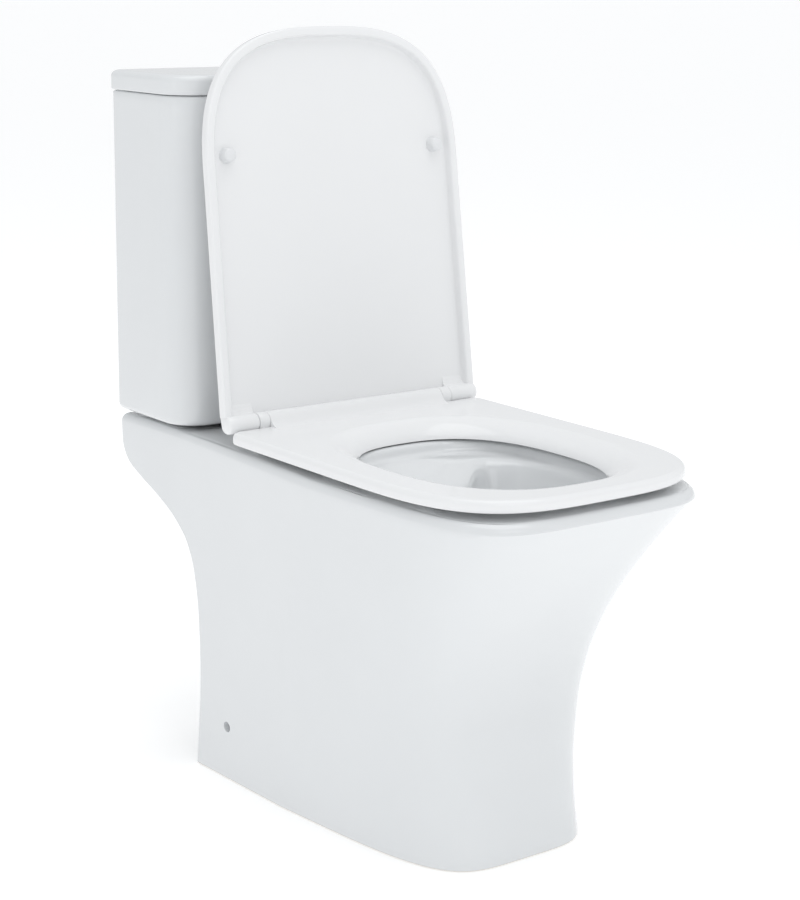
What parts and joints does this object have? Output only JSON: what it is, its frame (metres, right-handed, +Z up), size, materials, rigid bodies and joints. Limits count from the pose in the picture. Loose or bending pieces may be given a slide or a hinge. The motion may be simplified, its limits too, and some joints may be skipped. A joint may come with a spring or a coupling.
{
  "type": "close coupled toilet",
  "caption": "Free standing close coupled toilet with a square fronted skirted pan, rectangular cistern with push button, slim seat ring and raised seat lid.",
  "frame": {"origin": "on the floor at the middle of the whole toilet's width and depth", "axes": "+Z up, -Y towards the front of the seat, +Y towards the wall, +X to the right of somebody facing the front of the toilet"},
  "size_m": [0.3502, 0.6611, 0.8457],
  "materials": {
    "glazed_white": "gloss",
    "seat_plastic": "gloss",
    "hinge_plastic": "gloss",
    "white_buffer": "satin",
    "grey_rubber": "matt",
    "red_seal": "matt",
    "white_fitting": "satin",
    "blue_fitting": "satin",
    "damper_grey": "satin",
    "button_chrome": "polished",
    "bright_bolt": "brushed",
    "brass_rod": "satin"
  },
  "bodies": {
    "pan_body": {"pan": "glazed_white", "pan_skirt": "glazed_white", "pan_heels": "glazed_white", "pan_bowl": "glazed_white", "pan_trap": "glazed_white", "pan_flush_duct": "glazed_white", "cistern": "glazed_white", "doughnut_gasket": "grey_rubber", "coupling_bolts": "bright_bolt", "coupling_rubber_washers": "grey_rubber", "coupling_steel_washers": "bright_bolt", "coupling_wing_nuts": "white_fitting", "flush_valve_body": "white_fitting", "overflow_pipe": "white_fitting", "flush_valve_washer": "grey_rubber", "flush_valve_back_nut": "white_fitting", "fill_valve_body": "white_fitting", "fill_valve_washer": "grey_rubber", "fill_valve_back_nut": "white_fitting", "fill_valve_cap": "blue_fitting", "hinge_posts": "hinge_plastic", "hinge_pins": "bright_bolt", "hinge_bolts": "button_chrome", "hinge_rubber_bushes": "grey_rubber", "hinge_wing_nuts": "white_fitting"},
    "seat_ring_body": {"seat_ring": "seat_plastic", "seat_ring_buffers": "white_buffer", "ring_damper": "damper_grey", "ring_bush": "white_fitting"},
    "seat_lid_body": {"seat_lid": "seat_plastic", "seat_lid_buffers": "white_buffer", "lid_damper": "damper_grey", "lid_bush": "white_fitting"},
    "cistern_lid_body": {"cistern_lid": "glazed_white", "button_bezel": "button_chrome", "bezel_nut": "white_fitting"},
    "full_button_body": {"full_flush_button": "button_chrome", "full_flush_rod": "white_fitting"},
    "half_button_body": {"half_flush_button": "button_chrome", "half_flush_rod": "white_fitting"},
    "plunger_body": {"flush_plunger": "blue_fitting", "plunger_seal": "red_seal"},
    "half_sleeve_body": {"half_flush_sleeve": "blue_fitting"},
    "full_rocker_body": {"full_flush_rocker": "white_fitting"},
    "half_rocker_body": {"half_flush_rocker": "white_fitting"},
    "float_body": {"fill_float": "white_fitting", "float_rod": "brass_rod"},
    "fill_lever_body": {"fill_lever": "white_fitting"}
  },
  "joints": [
    {"name": "seat_ring_hinge", "type": "hinge", "parent": "pan_body", "child": "seat_ring_body", "pos_m": [0, 0.097, 0.428], "axis": [-1, 0, 0], "range_deg": [0, 96]},
    {"name": "seat_lid_hinge", "type": "hinge", "parent": "pan_body", "child": "seat_lid_body", "pos_m": [0, 0.097, 0.428], "axis": [-1, 0, 0], "range_deg": [-97.55, 0]},
    {"name": "cistern_lid_lift", "type": "slide", "parent": "pan_body", "child": "cistern_lid_body", "axis": [0, 0, 1], "range_m": [0, 0.25]},
    {"name": "full_flush_press", "type": "slide", "parent": "cistern_lid_body", "child": "full_button_body", "axis": [0, 0, -1], "range_m": [0, 0.008], "stiffness_N_per_m": 60, "springref_m": -0.012},
    {"name": "half_flush_press", "type": "slide", "parent": "cistern_lid_body", "child": "half_button_body", "axis": [0, 0, -1], "range_m": [0, 0.008], "stiffness_N_per_m": 60, "springref_m": -0.012},
    {"name": "plunger_lift", "type": "slide", "parent": "pan_body", "child": "plunger_body", "axis": [0, 0, 1], "range_m": [0, 0.008]},
    {"name": "half_sleeve_lift", "type": "slide", "parent": "pan_body", "child": "half_sleeve_body", "axis": [0, 0, 1], "range_m": [0, 0.008]},
    {"name": "full_rocker_swing", "type": "hinge", "parent": "pan_body", "child": "full_rocker_body", "pos_m": [0.014, 0.27, 0.65], "axis": [1, 0, 0], "range_deg": [0, 22.93]},
    {"name": "half_rocker_swing", "type": "hinge", "parent": "pan_body", "child": "half_rocker_body", "pos_m": [-0.014, 0.27, 0.65], "axis": [1, 0, 0], "range_deg": [0, 22.93]},
    {"name": "float_rise", "type": "slide", "parent": "pan_body", "child": "float_body", "axis": [0, 0, 1], "range_m": [0, 0.012]},
    {"name": "fill_lever_swing", "type": "hinge", "parent": "pan_body", "child": "fill_lever_body", "pos_m": [0.128, 0.257, 0.672], "axis": [0, 1, 0], "range_deg": [0, 22.93]}
  ],
  "couplings": [
    {"joint": "plunger_lift", "follows": "full_flush_press", "ratio": 1},
    {"joint": "full_rocker_swing", "follows": "full_flush_press", "rad_per_m": 50},
    {"joint": "half_sleeve_lift", "follows": "half_flush_press", "ratio": 1},
    {"joint": "half_rocker_swing", "follows": "half_flush_press", "rad_per_m": 50},
    {"joint": "fill_lever_swing", "follows": "float_rise", "rad_per_m": 33.333}
  ]
}
